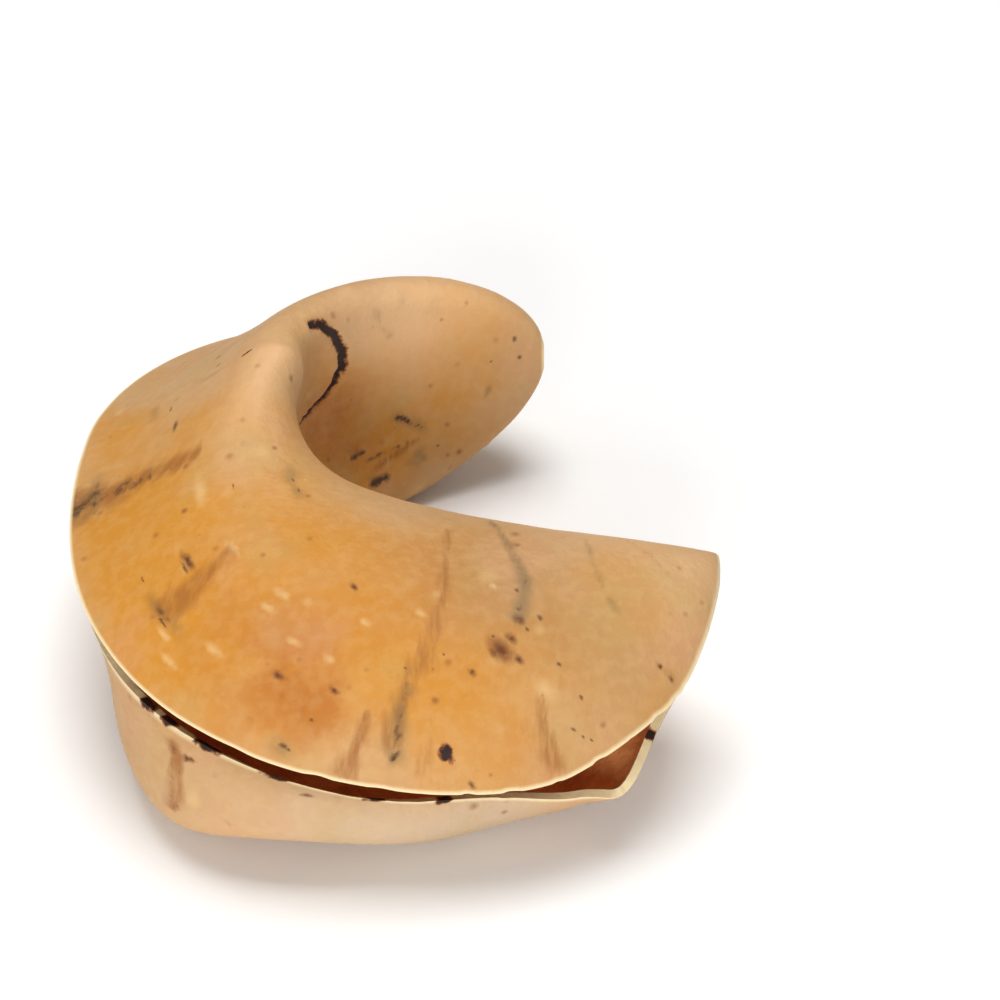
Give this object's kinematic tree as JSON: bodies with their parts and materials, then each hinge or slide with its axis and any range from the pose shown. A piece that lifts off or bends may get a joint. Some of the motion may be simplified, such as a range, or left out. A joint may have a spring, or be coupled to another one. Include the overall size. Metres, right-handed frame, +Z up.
{
  "type": "fortune cookie",
  "caption": "Crisp thin wafer folded over and bent into a crescent, hollow between its layers, with a notch between its horns.",
  "frame": {"origin": "on the surface the cookie lies on, under the middle of its bounding box", "axes": "+Z up, +X the way the notch opens, +Y towards the shorter horn"},
  "size_m": [0.0604, 0.0726, 0.0294],
  "materials": {
    "crust": "baked golden wafer, soft satin sheen, browned streaks"
  },
  "bodies": {
    "root": {"cookie": "crust"}
  },
  "joints": []
}
